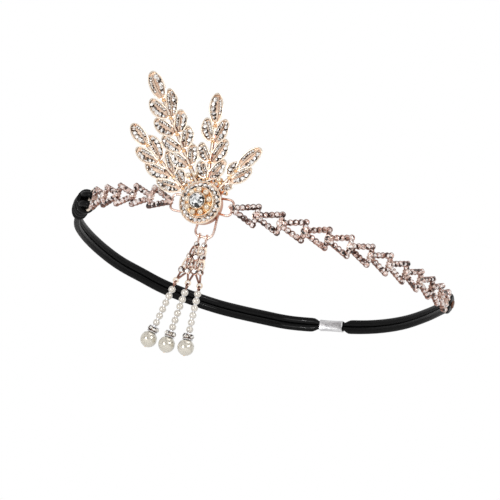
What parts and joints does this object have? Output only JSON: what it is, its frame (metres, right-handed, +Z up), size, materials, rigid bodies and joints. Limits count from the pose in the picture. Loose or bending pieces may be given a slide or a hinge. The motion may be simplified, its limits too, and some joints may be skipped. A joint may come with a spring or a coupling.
{
  "type": "beaded leaf headband",
  "caption": "Rose-gold headband with a stone-set medallion, upright leaf sprays, V-link chains, a pearl tassel and a doubled black elastic.",
  "frame": {"origin": "middle of the head opening, at the height of the band over the forehead", "axes": "+Z up, -Y towards the forehead, +X to the right in the picture"},
  "size_m": [0.1741, 0.1766, 0.1152],
  "materials": {
    "rose_gold": "polished rose gold",
    "crystal": "faceted clear glass",
    "pearl": "pearl lustre",
    "rondelle": "silver with small stones",
    "elastic_cord": "woven black elastic",
    "silver": "polished silver"
  },
  "bodies": {
    "root": {"brooch_frame": "rose_gold", "left_link_01": "rose_gold", "left_link_02": "rose_gold", "left_link_03": "rose_gold", "left_link_04": "rose_gold", "left_link_05": "rose_gold", "right_link_01": "rose_gold", "right_link_02": "rose_gold", "right_link_03": "rose_gold", "right_link_04": "rose_gold", "right_link_05": "rose_gold", "right_link_06": "rose_gold", "right_link_07": "rose_gold", "right_link_08": "rose_gold", "right_link_09": "rose_gold", "right_link_10": "rose_gold", "right_link_11": "rose_gold", "right_link_12": "rose_gold", "right_end_bar": "rose_gold", "left_end_ring": "rose_gold", "tassel_net": "rose_gold", "centre_crystal": "crystal", "rim_pearl_01": "pearl", "rim_pearl_02": "pearl", "rim_pearl_03": "pearl", "rim_pearl_04": "pearl", "rim_pearl_05": "pearl", "rim_pearl_06": "pearl", "rim_pearl_07": "pearl", "rim_pearl_08": "pearl", "rim_pearl_09": "pearl", "accent_pearl_01": "pearl", "accent_pearl_02": "pearl", "accent_pearl_03": "pearl", "pearl_string_1": "pearl", "pearl_string_2": "pearl", "pearl_string_3": "pearl", "drop_pearl_1": "pearl", "drop_pearl_2": "pearl", "drop_pearl_3": "pearl", "rondelle_1": "rondelle", "rondelle_2": "rondelle", "rondelle_3": "rondelle", "elastic": "elastic_cord", "crimp": "silver"}
  },
  "joints": []
}
